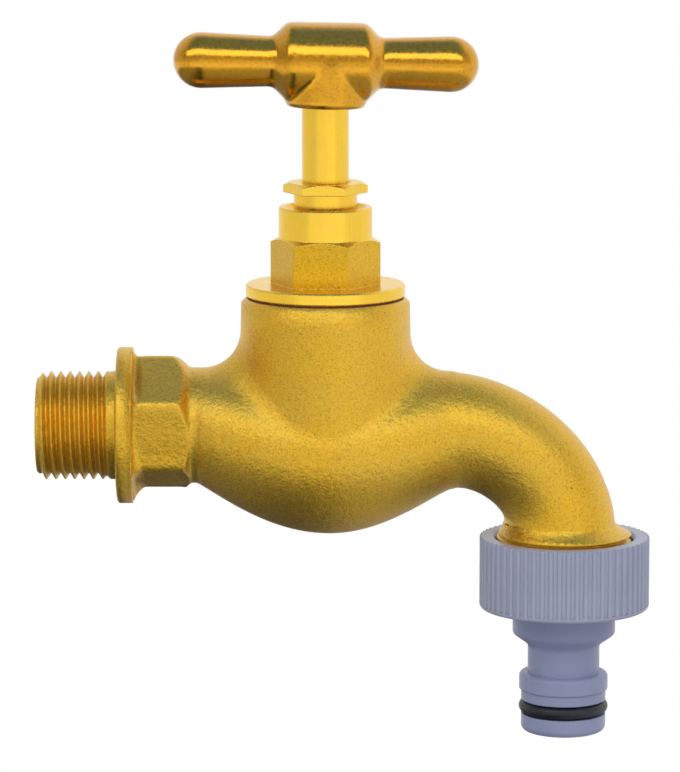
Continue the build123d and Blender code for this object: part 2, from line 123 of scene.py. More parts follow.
NECK_PROUD = 0.02
NECK_SUNK = 0.1

# Belly and spout
NECK_R = 11.2
BELLY_START_X = 14.3
BELLY_REAR = 25.0
BELLY_FRONT = 24.5
BELLY_DEPTH = 20.8
BELLY_WIDE = 17.96
BELLY_REAR_POWER = 1.15
BELLY_FRONT_POWER = 1.3
SPOUT_X = 65.2
SPOUT_R = 11.6
SPOUT_DROP = 1.05
SPOUT_END_Z = -18.9
SPOUT_BEND_R = 20.45
SPOUT_BEND_H = 17.85
SPOUT_EASE = 1.143
SPOUT_FLARE = 0.45
SPOUT_FLARE_TILT = 60
SPOUT_EASING = 0.3
SPOUT_EASING_X = 56.0
BEND_R = 10.35
BEND_STEPS = 360

# Skin of the casting: how far off its sections, as a share of them, a point still belongs to it
SKIN_SHARE = 0.1
BELLY_SKIN_SHARE = 0.09
BELLY_SKIN_FADE = 0.03
BELLY_BLEND_CLEARANCE = 4.0

# Meshes: the weld in metres, the crease in degrees, the handle's grid in millimetres
WELD = 1e-7
CREASE_ANGLE = 32
HANDLE_GRID = 0.3
HANDLE_SOFTENING = 14

# Studio, in metres and degrees
AIM = Vector((0.0430, 0, 0.00766))
FLOOR_CENTRE = (0.044, 0, -0.3)
FLOOR_R = 4.0
WHITE_AXIS_X = -0.25
WHITE_IN_VIEW = (0.50, 0.80)
WHITE_IN_GLOSS = (0.58, 0.95)
# Left-hand floor patch seen only by glossy rays: painted shade for the metal's undersides, not a real
# card
GLOSS_SHADE_EDGE_X = (-0.04, 0.08)
GLOSS_SHADE_FADE_X = (-0.40, -0.05)
CAMERA_LENS = 204.8
CAMERA_SENSOR = 36
CAMERA_ELEVATION = 9.3
CAMERA_DISTANCE = 0.85


class Tree:
    """The nodes of a material or of the world, with short ways to make and join them."""

    def __init__(self, owner):
        owner.use_nodes = True
        self.nodes = owner.node_tree.nodes
        self.links = owner.node_tree.links

    def feed(self, socket, value):
        """Gives a socket a constant or another node's output."""
        if isinstance(value, bpy.types.NodeSocket):
            self.links.new(value, socket)
        else:
            socket.default_value = value

    def math(self, kind, first, second=0.0):
        """One operation on two numbers."""
        node = self.nodes.new("ShaderNodeMath")
        node.operation = kind
        self.feed(node.inputs[0], first)
        self.feed(node.inputs[1], second)
        return node.outputs[0]

    def spread(self, value, low, high, to_low=0.0, to_high=1.0, kind="SMOOTHSTEP"):
        """Maps a value's range to another, clamped at both ends."""
        node = self.nodes.new("ShaderNodeMapRange")
        node.interpolation_type = kind
        self.feed(node.inputs["Value"], value)
        node.inputs["From Min"].default_value = low
        node.inputs["From Max"].default_value = high
        node.inputs["To Min"].default_value = to_low
        node.inputs["To Max"].default_value = to_high
        return node.outputs["Result"]

    def ramp(self, value, *stops):
        """Colours along a value, from (place, colour) stops."""
        node = self.nodes.new("ShaderNodeValToRGB")
        points = node.color_ramp.elements
        while len(points) < len(stops):
            points.new(0.5)
        for point, (at, colour) in zip(points, stops):
            point.position = at
            point.color = (*colour, 1)
        self.links.new(value, node.inputs[0])
        return node.outputs["Color"]

    def mix(self, data_type, kind, *values):
        """Mixes two values of a type by a share, given first."""
        node = self.nodes.new("ShaderNodeMix")
        node.data_type = data_type
        node.blend_type = kind
        for socket, value in zip([s for s in node.inputs if s.enabled], values):
            self.feed(socket, (*value, 1) if isinstance(value, tuple) else value)
        return [s for s in node.outputs if s.enabled][0]

    def blend(self, share, first, second, kind="MIX"):
        """Mixes two colours by a share."""
        return self.mix("RGBA", kind, share, first, second)

    def weigh(self, share, first, second):
        """Mixes two numbers by a share."""
        return self.mix("FLOAT", "MIX", share, first, second)

    def choose(self, share, first, second):
        """Mixes two shaders by a share."""
        node = self.nodes.new("ShaderNodeMixShader")
        for socket, value in zip(node.inputs, (share, first, second)):
            self.feed(socket, value)
        return node.outputs[0]

    def split(self, vector):
        """The three components of a place or a direction."""
        node = self.nodes.new("ShaderNodeSeparateXYZ")
        self.links.new(vector, node.inputs[0])
        return node.outputs


class Finish(Tree):
    """A procedural material whose textures lie in the part's own frame."""

    EDGE_SAMPLES = 6
    EDGE_FACING = (0.995, 0.86)

    def __init__(self, name):
        self.material = bpy.data.materials.new(name)
        super().__init__(self.material)
        self.shader = self.nodes["Principled BSDF"]
        self.place = self.nodes.new("ShaderNodeTexCoord").outputs["Object"]

    def set(self, **values):
        """Sets or links the shader's own sockets."""
        for name, value in values.items():
            self.feed(self.shader.inputs[name.replace("_", " ")], value)

    def moved(self, scale=(1, 1, 1), offset=(0, 0, 0)):
        """The place, scaled and then moved."""
        node = self.nodes.new("ShaderNodeMapping")
        node.inputs["Scale"].default_value = scale
        node.inputs["Location"].default_value = offset
        self.links.new(self.place, node.inputs["Vector"])
        return node.outputs["Vector"]

    def noise_at(self, vector, scale, detail, rough):
        """Noise over any vector."""
        node = self.nodes.new("ShaderNodeTexNoise")
        node.inputs["Scale"].default_value = scale
        node.inputs["Detail"].default_value = detail
        node.inputs["Roughness"].default_value = rough
        self.links.new(vector, node.inputs["Vector"])
        return node.outputs[0]

    def noise(self, grain, detail, rough, scale=(1, 1, 1)):
        """Noise whose grain is about this many millimetres across."""
        return self.noise_at(self.moved(scale), 1 / (grain * MM), detail, rough)

    def axes(self):
        """The place's X, Y and Z in metres."""
        return self.split(self.place)

    def vector_math(self, kind, *values):
        """Outputs of one operation on places or directions."""
        node = self.nodes.new("ShaderNodeVectorMath")
        node.operation = kind
        for socket, value in zip(node.inputs, values):
            self.links.new(value, socket)
        return node.outputs

    def spoke(self, x):
        """Level place measured from the upright axis at this X in millimetres."""
        return self.moved((1, 1, 0), (-x * MM, 0, 0))

    def radius(self, x):
        """Distance in metres from the upright axis at this X."""
        return self.vector_math("LENGTH", self.spoke(x))["Value"]

    def around(self, x, stretch):
        """Place wrapped round the upright axis at this X, for streaks along it."""
        direction = self.vector_math("NORMALIZE", self.spoke(x))["Vector"]
        return self.vector_math("ADD", direction, self.moved((0, 0, stretch)))["Vector"]

    def edges(self, radius):
        """Shading normal rounded over sharp edges, and how near an edge is, from 0 to 1."""
        bevel = self.nodes.new("ShaderNodeBevel")
        bevel.samples = self.EDGE_SAMPLES
        bevel.inputs["Radius"].default_value = radius * MM
        normal = self.nodes.new("ShaderNodeNewGeometry").outputs["Normal"]
        facing = self.vector_math("DOT_PRODUCT", bevel.outputs[0], normal)["Value"]
        return bevel.outputs[0], self.spread(facing, *self.EDGE_FACING)

    def bump(self, height, depth, strength, normal=None):
        """Raises the surface by a texture, over this depth in millimetres."""
        node = self.nodes.new("ShaderNodeBump")
        node.inputs["Distance"].default_value = depth * MM
        node.inputs["Strength"].default_value = strength
        self.links.new(height, node.inputs["Height"])
        if normal is not None:
            self.links.new(normal, node.inputs["Normal"])
        return node.outputs[0]

    def normal_axes(self):
        """Components of the surface normal in the part's frame."""
        return self.split(self.nodes.new("ShaderNodeTexCoord").outputs["Normal"])


# Materials

def cast_surface(finish):
    """Colour, roughness and normal of rumbled, grainy cast brass."""
    grain = finish.noise(0.4, 3, 0.6)
    pebble = finish.noise(1.1, 2, 0.5)
    patch = finish.noise(12, 3, 0.55)
    pit = finish.spread(finish.noise(0.8, 2, 0.6), 0.31, 0.24)
    tone = finish.ramp(patch, (0.35, (0.78, 0.46, 0.024)), (0.65, (0.74, 0.455, 0.038)))
    speck = finish.ramp(
        grain,
        (0.28, (0.68, 0.65, 0.58)),
        (0.5, (1.0, 1.0, 1.0)),
        (0.72, (1.13, 1.12, 1.1)),
    )
    colour = finish.blend(1.0, tone, speck, "MULTIPLY")
    colour = finish.blend(finish.math("MULTIPLY", pit, 0.45), colour, (0.2, 0.11, 0.02))
    soft, edge = finish.edges(0.45)
    worn = finish.math("MULTIPLY", edge, finish.spread(pebble, 0.35, 0.6))
    colour = finish.blend(finish.math("MULTIPLY", worn, 0.4), colour, (0.86, 0.6, 0.14))
    rough = finish.spread(grain, 0.25, 0.75, 0.33, 0.45)
    normal = finish.bump(pebble, 0.2, 0.65, soft)
    normal = finish.bump(grain, 0.13, 0.8, normal)
    return colour, rough, normal


def machined_surface(finish, axis_x):
    """Colour, roughness and normal of bright turned or drawn brass."""
    streak = finish.noise_at(finish.around(axis_x, 10), 16, 2, 0.6)
    fine = finish.noise_at(finish.around(axis_x, 40), 90, 1, 0.5)
    stain = finish.noise(4, 3, 0.6)
    tone = finish.ramp(stain, (0.35, (0.93, 0.59, 0.055)), (0.68, (0.88, 0.57, 0.07)))
    line = finish.ramp(streak, (0.3, (0.93, 0.925, 0.91)), (0.65, (1.03, 1.03, 1.03)))
    colour = finish.blend(1.0, tone, line, "MULTIPLY")
    soft, edge = finish.edges(0.25)
    colour = finish.blend(finish.math("MULTIPLY", edge, 0.4), colour, (0.93, 0.70, 0.2))
    rough = finish.spread(streak, 0.3, 0.7, 0.22, 0.3)
    normal = finish.bump(fine, 0.008, 0.5, soft)
    return colour, rough, normal


def cast_brass(name):
    """Cast brass with a faint dull sheen of lacquer."""
    finish = Finish(name)
    colour, rough, normal = cast_surface(finish)
    finish.set(Metallic=1.0, Base_Color=colour, Roughness=rough, Normal=normal)
    finish.set(Coat_Weight=0.4, Coat_Roughness=0.5)
    return finish.material


def machined_brass(name, axis_x):
    """Bare turned brass, streaked round the upright axis at this X."""
    finish = Finish(name)
    colour, rough, normal = machined_surface(finish, axis_x)
    finish.set(Metallic=1.0, Base_Color=colour, Roughness=rough, Normal=normal)
    return finish.material


def bonnet_brass(name):
    """Turned brass whose hexagon keeps its rough forged faces."""
    finish = Finish(name)
    cast = cast_surface(finish)
    turned = machined_surface(finish, VALVE_X)
    height = finish.axes()[2]
    low, high = BONNET_HEX
    above = finish.math("GREATER_THAN", height, (low + NEAR) * MM)
    below = finish.math("LESS_THAN", height, (high - NEAR) * MM)
    upright = finish.math("LESS_THAN", finish.math("ABSOLUTE", finish.normal_axes()[2]), 0.3)
    forged = finish.math("MULTIPLY", finish.math("MULTIPLY", above, below), upright)
    colour = finish.blend(forged, turned[0], cast[0])
    rough = finish.weigh(forged, turned[1], cast[1])
    normal = finish.blend(forged, turned[2], cast[2])
    finish.set(Metallic=1.0, Base_Color=colour, Roughness=rough, Normal=normal)
    return finish.material


def handle_brass(name):
    """Darker, smoother cast brass under a thin lacquer, worn by hands."""
    finish = Finish(name)
    grain = finish.noise(0.6, 3, 0.55)
    wave = finish.noise(2.6, 2, 0.5)
    patch = finish.noise(8, 3, 0.6)
    tone = finish.ramp(patch, (0.35, (0.70, 0.335, 0.005)), (0.66, (0.64, 0.315, 0.009)))
    speck = finish.ramp(grain, (0.3, (0.82, 0.79, 0.72)), (0.55, (1.02, 1.02, 1.02)))
    colour = finish.blend(1.0, tone, speck, "MULTIPLY")
    soft, edge = finish.edges(0.5)
    colour = finish.blend(finish.math("MULTIPLY", edge, 0.35), colour, (0.8, 0.52, 0.1))
    rough = finish.spread(grain, 0.3, 0.7, 0.13, 0.23)
    normal = finish.bump(wave, 0.08, 0.3, soft)
    normal = finish.bump(grain, 0.02, 0.5, normal)
    finish.set(Metallic=1.0, Base_Color=colour, Roughness=rough, Normal=normal)
    finish.set(Coat_Weight=0.5, Coat_Roughness=0.22)
    return finish.material


def connector_plastic(name):
    """Moulded grey plastic, bluer and a little darker on the nipple."""
    finish = Finish(name)
    height = finish.axes()[2]
    nipple = finish.spread(height, (NUT_FOOT_Z + 0.4) * MM, (NUT_FOOT_Z - 0.6) * MM)
    cloud = finish.noise(7, 3, 0.6)
    grain = finish.noise(0.35, 2, 0.5)
    nut = finish.ramp(cloud, (0.35, (0.36, 0.385, 0.50)), (0.65, (0.395, 0.415, 0.52)))
    tip = finish.ramp(cloud, (0.35, (0.27, 0.3, 0.45)), (0.65, (0.295, 0.32, 0.47)))
    colour = finish.blend(nipple, nut, tip)
    soft, edge = finish.edges(0.3)
    colour = finish.blend(finish.math("MULTIPLY", edge, 0.3), colour, (0.42, 0.44, 0.52))
    rough = finish.spread(grain, 0.3, 0.7, 0.3, 0.4)
    normal = finish.bump(grain, 0.015, 0.4, soft)
    finish.set(Base_Color=colour, Roughness=rough, Normal=normal)
    return finish.material


def rubber(name):
    """Black rubber with a faint bloom."""
    finish = Finish(name)
    bloom = finish.noise(2.2, 3, 0.6)
    grain = finish.noise(0.25, 2, 0.5)
    colour = finish.ramp(bloom, (0.35, (0.004, 0.005, 0.008)), (0.7, (0.012, 0.014, 0.022)))
    rough = finish.spread(grain, 0.3, 0.7, 0.36, 0.5)
    finish.set(Base_Color=colour, Roughness=rough, Normal=finish.bump(grain, 0.01, 0.4))
    return finish.material


def fibre(name, dark, light):
    """Pressed fibre: short threads in every direction."""
    finish = Finish(name)
    strand = finish.noise(0.5, 4, 0.7, (1, 1, 0.3))
    colour = finish.ramp(strand, (0.3, dark), (0.7, light))
    finish.set(Base_Color=colour, Roughness=finish.spread(strand, 0.2, 0.8, 0.75, 0.95))
    finish.set(Normal=finish.bump(strand, 0.06, 0.6))
    return finish.material


def plain_steel(name):
    """Bare steel with fine scratches."""
    finish = Finish(name)
    scratch = finish.noise(0.3, 3, 0.6, (1, 1, 6))
    colour = finish.ramp(scratch, (0.3, (0.36, 0.36, 0.37)), (0.7, (0.55, 0.55, 0.56)))
    rough = finish.spread(scratch, 0.3, 0.7, 0.25, 0.42)
    normal = finish.bump(scratch, 0.01, 0.5)
    finish.set(Metallic=1.0, Base_Color=colour, Roughness=rough, Normal=normal)
    return finish.material


CAST = cast_brass("cast_brass_finish")
MACHINED = machined_brass("machined_brass_finish", VALVE_X)
OUTLET_BRASS = machined_brass("outlet_brass_finish", OUTLET_X)
RUBBER = rubber("rubber_finish")

FINISHES = {
    "bonnet": bonnet_brass("bonnet_brass_finish"),
    "bonnet_gasket": fibre("gasket_finish", (0.05, 0.02, 0.012), (0.14, 0.06, 0.03)),
    "gland_nut": MACHINED,
    "packing_follower": MACHINED,
    "gland_packing": fibre("packing_finish", (0.03, 0.03, 0.03), (0.16, 0.15, 0.13)),
    "spindle": MACHINED,
    "handle_grub_screw": plain_steel("steel_finish"),
    "valve_jumper": MACHINED,
    "jumper_snap_ring": plain_steel("wire_finish"),
    "seat_washer": RUBBER,
    "washer_nut": MACHINED,
    "hose_connector": connector_plastic("connector_plastic_finish"),
    "connector_o_ring": RUBBER,
    "outlet_washer": RUBBER,
}
for name, finish in FINISHES.items():
    NODES[name].data.materials.clear()
    NODES[name].data.materials.append(finish)


# Sections that the casting's skin follows

def belly_section(x):
    """Middle height, half width and half height of the casting's upright cross-section at X."""
    rear = x < VALVE_X
    along = np.clip((x - VALVE_X) / np.where(rear, BELLY_REAR, BELLY_FRONT), -1, 1)
    swell = (1 - along**2) ** np.where(rear, BELLY_REAR_POWER, BELLY_FRONT_POWER)
    share = (along + 1) / 2
    axis = -SPOUT_DROP * share
    eased = np.clip((x - SPOUT_EASING_X) / (SPOUT_X - SPOUT_EASING_X), 0, 1) ** 2
    tube = NECK_R + (SPOUT_R - NECK_R) * share - SPOUT_EASING * eased
    foot = axis - tube - (BELLY_DEPTH - NECK_R - SPOUT_DROP / 2) * swell
    wide = tube + (BELLY_WIDE - tube) * swell
    return (axis + tube + foot) / 2, wide, (axis + tube - foot) / 2


def spout_section(tilt):
    """Centre and radius of the bent spout where its run has turned down by this many degrees."""
    across, down = np.sin(np.radians(tilt)), np.cos(np.radians(tilt))
    x = SPOUT_X + SPOUT_BEND_R * across**SPOUT_EASE
    z = SPOUT_END_Z + SPOUT_BEND_H * down**SPOUT_EASE
    flare = SPOUT_FLARE * np.clip((tilt - SPOUT_FLARE_TILT) / (90 - SPOUT_FLARE_TILT), 0, 1) ** 2
    return x, z, BEND_R + (SPOUT_R - SPOUT_EASING - BEND_R) * (1 - across) ** 2 + flare


# Sleeves: ring-shaped meshes from rows of (distance, radii) along the inlet or the outlet

def sleeve(rows, place):
    """Points and faces of a closed sleeve, put into the frame by place(at, radius, angle)."""
    around = len(rows[0][1])
    angles = np.arange(around) * 2 * math.pi / around
    points = [place(at, r, a) for at, radii in rows for r, a in zip(radii, angles)]
    faces = []
    for i in range(len(rows)):
        row, next_row = i * around, (i + 1) % len(rows) * around
        for j in range(around):
            k = (j + 1) % around
            faces.append((row + j, next_row + j, next_row + k, row + k))
    return points, faces


def along_inlet(at, radius, angle):
    """Place at this distance along the inlet's axis, in metres."""
    return (at * MM, radius * math.cos(angle) * MM, radius * math.sin(angle) * MM)


def along_outlet(at, radius, angle):
    """Place at this depth along the outlet's axis, in metres."""
    return ((OUTLET_X + radius * math.cos(angle)) * MM, radius * math.sin(angle) * MM, -at * MM)


def threaded_rows(span, head, tail, crest_r, lead, runout, step=0.085, around=128):
    """Rows along a right-handed pipe thread, between plain end rows given as (distance, radius)."""
    low, high = span
    along = np.linspace(low, high, round((high - low) / step) + 1)
    turn = np.arange(around) / around
    phase = (along[:, None] + THREAD_SHIFT) / PIPE_PITCH - turn[None, :]
    ridge = np.abs(phase % 1 - 0.5) * 2
    ridge = np.clip((ridge - THREAD_FLAT) / (1 - 2 * THREAD_FLAT), 0, 1)
    grown = np.clip((along - lead[0]) / (lead[1] - lead[0]), 0, 1)[:, None]
    filled = np.clip((along - runout[0]) / (runout[1] - runout[0]), 0, 1)[:, None]
    height = ridge * grown
    height = height + (1 - height) * filled
    radii = crest_r - PIPE_DEPTH * (1 - height)
    first, last = ([(at, np.full(around, r)) for at, r in ends] for ends in (head, tail))
    return first + list(zip(along, radii)) + last


def inlet_rows():
    """The inlet's thread, which runs out before the collar."""
    end, face = INLET_END_X, INLET_INTO_COLLAR
    head = [(end, INLET_CORE_R), (end, INLET_CORE_R + INLET_LIP)]
    tail = [(face, INLET_CORE_R)]
    span = (end + INLET_CHAMFER, face)
    return threaded_rows(span, head, tail, INLET_CREST_R, INLET_LEAD, INLET_RUNOUT)


def outlet_rows():
    """The outlet's thread, at full height from the spout's rim to the end."""
    rim, end = -OUTLET_RIM_Z, -OUTLET_END_Z
    head = [(rim - OUTLET_TUCK, OUTLET_CORE_R), (rim - NEAR, OUTLET_RIM_R)]
    tail = [(end, OUTLET_CORE_R + CLEAR), (end, OUTLET_CORE_R)]
    span = (rim + OUTLET_CHAMFER, end - OUTLET_CHAMFER)
    return threaded_rows(span, head, tail, OUTLET_CREST_R, (rim, span[0]), (end, end + 1))


def soft_max(first, second, width):
    """The larger of two fields, blended where they meet."""
    near = np.clip(0.5 + 0.5 * (first - second) / width, 0, 1)
    return second + (first - second) * near + width * near * (1 - near)


def soft_min(first, second, width):
    """The smaller of two fields, blended where they meet."""
    return -soft_max(-first, -second, width)


def neck_radii(x, up, side):
    """Distances from the inlet's axis to the neck's skin at X, in directions with these components."""
    middle, wide, high = belly_section(np.array(x))
    square = (side / wide) ** 2 + (up / high) ** 2
    lean = up * middle / high**2
    return (lean + np.sqrt(lean**2 + square * (1 - (middle / high) ** 2))) / square


def hexagon_rows(around=240):
    """The cast hexagon: root fillet, soft corners and a rounded shoulder into the neck."""
    turn = np.arange(around) * 360 / around
    up, side = np.sin(np.radians(turn)), np.cos(np.radians(turn))
    top = np.clip(up, 0, 1)
    flat = HEXAGON_R / np.cos(np.radians((turn - HEXAGON_TURN + 30) % 60 - 30))
    flat = soft_min(flat, HEXAGON_CORNER_R, CORNER_SOFTNESS)
    cornered = (flat - HEXAGON_R) / (HEXAGON_CORNER_R - HEXAGON_R)
    root = ROOT_FLAT_R + (ROOT_CORNER_R - ROOT_FLAT_R) * cornered
    start = SHOULDER_START_X + (SHOULDER_START_TOP_X - SHOULDER_START_X) * top
    end = SHOULDER_END_X + (SHOULDER_END_TOP_X - SHOULDER_END_X) * top
    rows = [(HEXAGON_FOOT_X, np.full(around, HEXAGON_CORE_R))]
    step = HEXAGON_ROW_STEP
    along = np.arange(ROOT_END_X + step, HEXAGON_END_X + step / 4, step)
    for at in (*np.linspace(HEXAGON_FOOT_X, ROOT_END_X, ROOT_ROWS), *along):
        neck = neck_radii(at, up, side)
        ease = 0.5 + 0.5 * np.cos(np.pi * np.clip((at - start) / (end - start), 0, 1))
        shoulder = SHOULDER_LOW_R + (SHOULDER_HIGH_R - SHOULDER_LOW_R) * ease
        radii = soft_min(flat, shoulder, SHOULDER_SOFTNESS)
        lift = np.interp(at, HEXAGON_LIFTED_X, (0, 1, 1, 0))
        radii = radii + HEXAGON_LIFT * lift * lift * (3 - 2 * lift) * up
        into = np.clip(root - (at - ROOT_X), 0, root)
        radii = radii + root - np.sqrt(root**2 - into**2)
        radii = soft_min(radii, ROOT_MAX_R, ROOT_SOFTNESS)
        radii = soft_max(radii, neck, NECK_SOFTNESS)
        fade = np.interp(at, NECK_FADE_X, (0, 1))
        sunk = neck + NECK_PROUD - (NECK_PROUD + NECK_SUNK) * fade
        rows.append((at, radii + (sunk - radii) * fade))
    rows.append((HEXAGON_END_X + CLEAR, rows[-1][1] - HEXAGON_TUCK))
    return rows


# The casting, with its skin evened and its real pipe threads

def even_belly(points):
    """Sets the belly's skin on its sections, apart from the blend into the boss above them."""
    x, y, z = points.T
    middle, wide, high = belly_section(x)
    ratio = np.hypot(y / wide, (z - middle) / high)
    near = np.clip((BELLY_SKIN_SHARE - np.abs(ratio - 1)) / BELLY_SKIN_FADE, 0, 1)
    outside = ratio > 1
    near[outside] *= np.clip((middle - z)[outside] / BELLY_BLEND_CLEARANCE, 0, 1)
    near[(x <= BELLY_START_X) | (x >= SPOUT_X)] = 0
    scale = 1 + near * (1 / np.maximum(ratio, 1 - BELLY_SKIN_SHARE) - 1)
    points[:, 1] = y * scale
    points[:, 2] = middle + (z - middle) * scale


def even_bend(points):
    """Sets the bent spout's skin on the circles along its path."""
    x, _, z = points.T
    tilts = np.linspace(0, 90, BEND_STEPS + 1)
    path_x, path_z, _ = spout_section(tilts)
    run_x, run_z = np.cos(np.radians(tilts)), -np.sin(np.radians(tilts))
    bent = np.nonzero((x >= SPOUT_X) & (z > SPOUT_END_Z))[0]
    ahead = (x[bent, None] - path_x) * run_x + (z[bent, None] - path_z) * run_z
    step = np.clip((ahead > 0).sum(axis=1) - 1, 0, BEND_STEPS - 1)
    rows = np.arange(len(bent))
    first, second = ahead[rows, step], ahead[rows, step + 1]
    past = np.clip(first / np.maximum(first - second, 1e-9), 0, 1)
    centre_x, centre_z, radius = spout_section(tilts[step] + 90 / BEND_STEPS * past)
    centres = np.stack([centre_x, np.zeros(len(bent)), centre_z], axis=1)
    away = points[bent] - centres
    ratio = np.linalg.norm(away, axis=1) / radius
    skin = np.abs(ratio - 1) < SKIN_SHARE
    points[bent[skin]] = centres[skin] + away[skin] / ratio[skin, None]


def even_end(points):
    """Sets the spout's end on the circles that flare from the bend to the outlet's rim."""
    x, y, z = points.T
    share = (SPOUT_END_Z - z) / (SPOUT_END_Z - OUTLET_RIM_Z)
    end = (share > 0) & (share < 0.999) & (x > SPOUT_X)
    share = np.clip(share, 0, 1)
    bend_x, bend_r = SPOUT_X + SPOUT_BEND_R, BEND_R + SPOUT_FLARE
    centre_x = bend_x + (OUTLET_X - bend_x) * share**2
    radius = bend_r + (OUTLET_RIM_R - bend_r) * share**1.5
    ratio = np.hypot(x - centre_x, y) / radius
    end &= np.abs(ratio - 1) < SKIN_SHARE
    points[end, 0] = (centre_x + (x - centre_x) / ratio)[end]
    points[end, 1] = (y / ratio)[end]


def draw_in(points, chosen, across, centre, radius):
    """Moves the chosen points to this distance from an axis, across which these columns lie."""
    picked = np.ix_(chosen, across)
    spokes = points[picked] - centre
    points[picked] = centre + spokes * (radius / np.linalg.norm(spokes, axis=1))[:, None]


def cast_points(mesh):
    """The CAD casting's points in millimetres, evened, with all that a sleeve covers drawn in."""
    points = np.empty(len(mesh.vertices) * 3)
    mesh.vertices.foreach_get("co", points)
    points = points.reshape(-1, 3) / MM
    for even in (even_belly, even_bend, even_end):
        even(points)
    x, y, z = points.T
    off_inlet = np.hypot(y, z)
    off_outlet = np.hypot(x - OUTLET_X, y)
    low, high = HEXAGON_COVERED_R
    hexagon = (x > ROOT_X) & (x < HEXAGON_COVERED_X) & (off_inlet > low) & (off_inlet < high)
    collar_back = (x > ROOT_X) & (x < COLLAR_T + CLEAR) & (off_inlet > COLLAR_RIM_R)
    low, high = INLET_BLANK_R
    inlet_blank = (x < NEAR) & (off_inlet > low) & (off_inlet < high)
    below_rim = (z < OUTLET_RIM_Z - CLEAR) & (x > SPOUT_SIDE_X)
    outlet_blank = below_rim & (off_outlet > OUTLET_BLANK_R)
    draw_in(points, hexagon, (1, 2), (0, 0), HEXAGON_CORE_R - CLEAR)
    draw_in(points, inlet_blank, (1, 2), (0, 0), INLET_CORE_R)
    draw_in(points, outlet_blank, (0, 1), (OUTLET_X, 0), OUTLET_CORE_R)
    points[collar_back, 0] -= COLLAR_TRIM
    return points


def brass_of(middle):
    """Which of the casting's finishes a face has, by its middle in millimetres."""
    off_inlet = math.hypot(middle.y, middle.z)
    off_outlet = math.hypot(middle.x - OUTLET_X, middle.y)
    below_rim = middle.x > SPOUT_SIDE_X and middle.z < OUTLET_RIM_Z + NEAR
    if below_rim and off_outlet > OUTLET_BORE_R:
        return OUTLET_BRASS
    on_collar = middle.x < COLLAR_T - COLLAR_BACK_T and off_inlet > COLLAR_R - COLLAR_RIM_T
    if middle.x < COLLAR_FACE_T or on_collar or middle.z > BOSS_TOP_Z - BOSS_FACED_H:
        return MACHINED
    return CAST


def casting():
    """The cast body, with sleeves for its threads and its hexagon."""
    mesh = NODES["tap_body"].data.copy()
    mesh.name = "tap_casting"
    mesh.vertices.foreach_set("co", (cast_points(mesh) * MM).ravel())
    built = bmesh.new()
    built.from_mesh(mesh)
    bmesh.ops.remove_doubles(built, verts=built.verts, dist=WELD)
    sleeves = (
        (inlet_rows(), along_inlet),
        (outlet_rows(), along_outlet),
        (hexagon_rows(), along_inlet),
    )
    for rows, place in sleeves:
        spots, faces = sleeve(rows, place)
        corners = [built.verts.new(spot) for spot in spots]
        made = [built.faces.new([corners[i] for i in face]) for face in faces]
        bmesh.ops.recalc_face_normals(built, faces=made)
    finishes = [CAST, MACHINED, OUTLET_BRASS]
    for face in built.faces:
        face.smooth = True
        face.material_index = finishes.index(brass_of(face.calc_center_median() / MM))
    built.to_mesh(mesh)
    built.free()
    mesh.materials.clear()
    for finish in finishes:
        mesh.materials.append(finish)
    mesh.set_sharp_from_angle(angle=math.radians(CREASE_ANGLE))
    body = bpy.data.objects.new("tap_casting", mesh)
    bpy.context.collection.objects.link(body)
    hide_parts("tap_body")
    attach(body, "tap")


def handle():
    """The T-handle with the soft creases of a casting."""
    mesh = NODES["tee_handle"].data.copy()
    built = bmesh.new()
    built.from_mesh(mesh)
    bmesh.ops.remove_doubles(built, verts=built.verts, dist=WELD)
    built.to_mesh(mesh)
    built.free()
    body = bpy.data.objects.new("handle_casting", mesh)
    bpy.context.collection.objects.link(body)
    remesh = body.modifiers.new("grid", "REMESH")
    remesh.mode = "VOXEL"
    remesh.voxel_size = HANDLE_GRID * MM
    smooth = body.modifiers.new("soften", "SMOOTH")
    smooth.factor = 0.5
    smooth.iterations = HANDLE_SOFTENING
    ready = body.evaluated_get(bpy.context.evaluated_depsgraph_get())
    body.data = bpy.data.meshes.new_from_object(ready)
    body.modifiers.clear()
    body.data.materials.clear()
    body.data.materials.append(handle_brass("handle_brass_finish"))
    body.data.polygons.foreach_set("use_smooth", [True] * len(body.data.polygons))
    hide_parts("tee_handle")
    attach(body, "spindle")


casting()
handle()


# Floor, light and camera

def floor_finish():
    """Pale floor that turns white away from the tap; on its left, seen only in gloss, a dark patch of
    painted shade for the metal's undersides to reflect.
    """
    finish = Finish("floor_finish")
    finish.set(Base_Color=(0.64, 0.64, 0.65, 1), Roughness=0.9, Specular_IOR_Level=0.0)
    path = finish.nodes.new("ShaderNodeLightPath").outputs
    x = finish.axes()[0]
    # Dark patch that only glossy rays see: painted shade in the reflections on the metal's undersides
    painted_shade_patch = finish.nodes.new("ShaderNodeBsdfDiffuse")
    painted_shade_patch.inputs["Color"].default_value = (0.11, 0.115, 0.13, 1)
    left = finish.spread(x, *GLOSS_SHADE_EDGE_X, 1, 0)
    left = finish.math("MULTIPLY", left, finish.spread(x, *GLOSS_SHADE_FADE_X, 0.4, 1))
    painted_shade_share = finish.math("MULTIPLY", left, path["Is Glossy Ray"])
    near = finish.choose(painted_shade_share, finish.shader.outputs[0], painted_shade_patch.outputs[0])

    away = finish.radius(WHITE_AXIS_X / MM)
    in_view = finish.math("MULTIPLY", finish.spread(away, *WHITE_IN_VIEW), path["Is Camera Ray"])
    seen = finish.math("MAXIMUM", path["Is Glossy Ray"], path["Is Transmission Ray"])
    in_gloss = finish.math("MULTIPLY", finish.spread(away, *WHITE_IN_GLOSS), seen)
    white = finish.nodes.new("ShaderNodeEmission").outputs[0]
    shown = finish.choose(finish.math("MAXIMUM", in_view, in_gloss), near, white)
    finish.links.new(shown, finish.nodes["Material Output"].inputs[0])
    return finish.material


